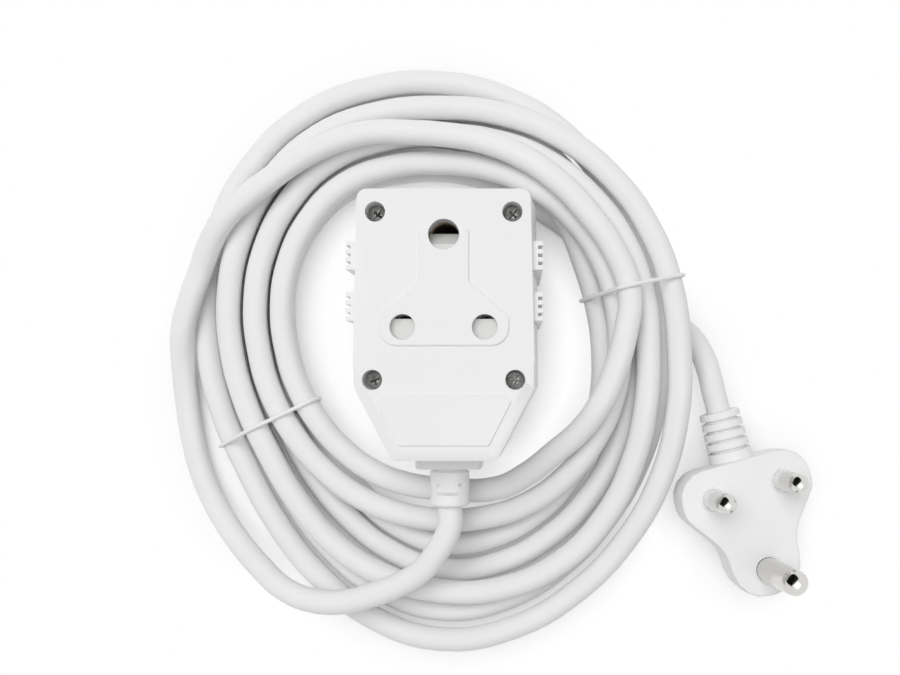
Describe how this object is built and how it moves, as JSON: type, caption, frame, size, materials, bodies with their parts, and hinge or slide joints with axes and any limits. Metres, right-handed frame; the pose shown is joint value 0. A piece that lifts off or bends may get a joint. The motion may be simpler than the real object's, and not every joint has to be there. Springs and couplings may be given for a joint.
{
  "type": "extension lead with a double-sided coupler",
  "caption": "White three-core extension lead, coiled and tied, with a moulded three-pin plug and a two-faced coupler whose shuttered sockets take the same plug.",
  "frame": {"origin": "centre of the coupler's back face, on the surface it lies on", "axes": "+Z out of the coupler's front face, +Y along the coupler away from its cord entry, +X to its right seen from the front"},
  "size_m": [0.2276, 0.2085, 0.06],
  "materials": {
    "housing": "smooth white moulding with a soft sheen",
    "insert": "plain off-white moulding",
    "moulding": "flexible white moulding, fine satin",
    "sheath": "white flexible sheath, satin",
    "tie": "thin white tie",
    "contact": "bright brass",
    "pin": "nickel plate, polished",
    "screw": "darkened steel",
    "spring": "drawn wire",
    "live_core": "brown insulation",
    "neutral_core": "blue insulation",
    "earth_core": "green and yellow insulation"
  },
  "bodies": {
    "lead": {"front_shell": "housing", "rear_shell": "housing", "housing_screw_1": "screw", "housing_screw_2": "screw", "housing_screw_3": "screw", "housing_screw_4": "screw", "cord_clamp_screw_1": "screw", "cord_clamp_screw_2": "screw", "live_terminal_screw": "screw", "neutral_terminal_screw": "screw", "earth_terminal_screw": "screw", "front_contact_carrier": "insert", "rear_contact_carrier": "insert", "cord_clamp_bar": "insert", "plug_pin_bridge": "insert", "live_pin_sleeve": "insert", "neutral_pin_sleeve": "insert", "front_shutter_spring": "spring", "rear_shutter_spring": "spring", "live_contact": "contact", "neutral_contact": "contact", "earth_contact": "contact", "cord_boot": "moulding", "plug_body": "moulding", "cord_end_in_coupler": "sheath", "cord_end_in_plug": "sheath", "cord_coil": "sheath", "cord_to_coupler": "sheath", "cord_to_plug": "sheath", "tie_right": "tie", "tie_left": "tie", "live_pin": "pin", "neutral_pin": "pin", "earth_pin": "pin", "coupler_live_core": "live_core", "plug_live_core": "live_core", "coupler_neutral_core": "neutral_core", "plug_neutral_core": "neutral_core", "coupler_earth_core": "earth_core", "plug_earth_core": "earth_core"},
    "front_shutter": {"front_shutter": "insert"},
    "rear_shutter": {"rear_shutter": "insert"}
  },
  "joints": [
    {"name": "front_shutter_slide", "type": "slide", "parent": "lead", "child": "front_shutter", "axis": [0, -1, 0], "range_m": [0, 0.0065], "stiffness_N_per_m": 150, "springref_m": -0.004, "deforming": ["front_shutter_spring"]},
    {"name": "rear_shutter_slide", "type": "slide", "parent": "lead", "child": "rear_shutter", "axis": [0, -1, 0], "range_m": [0, 0.0065], "stiffness_N_per_m": 150, "springref_m": -0.004, "deforming": ["rear_shutter_spring"]}
  ]
}
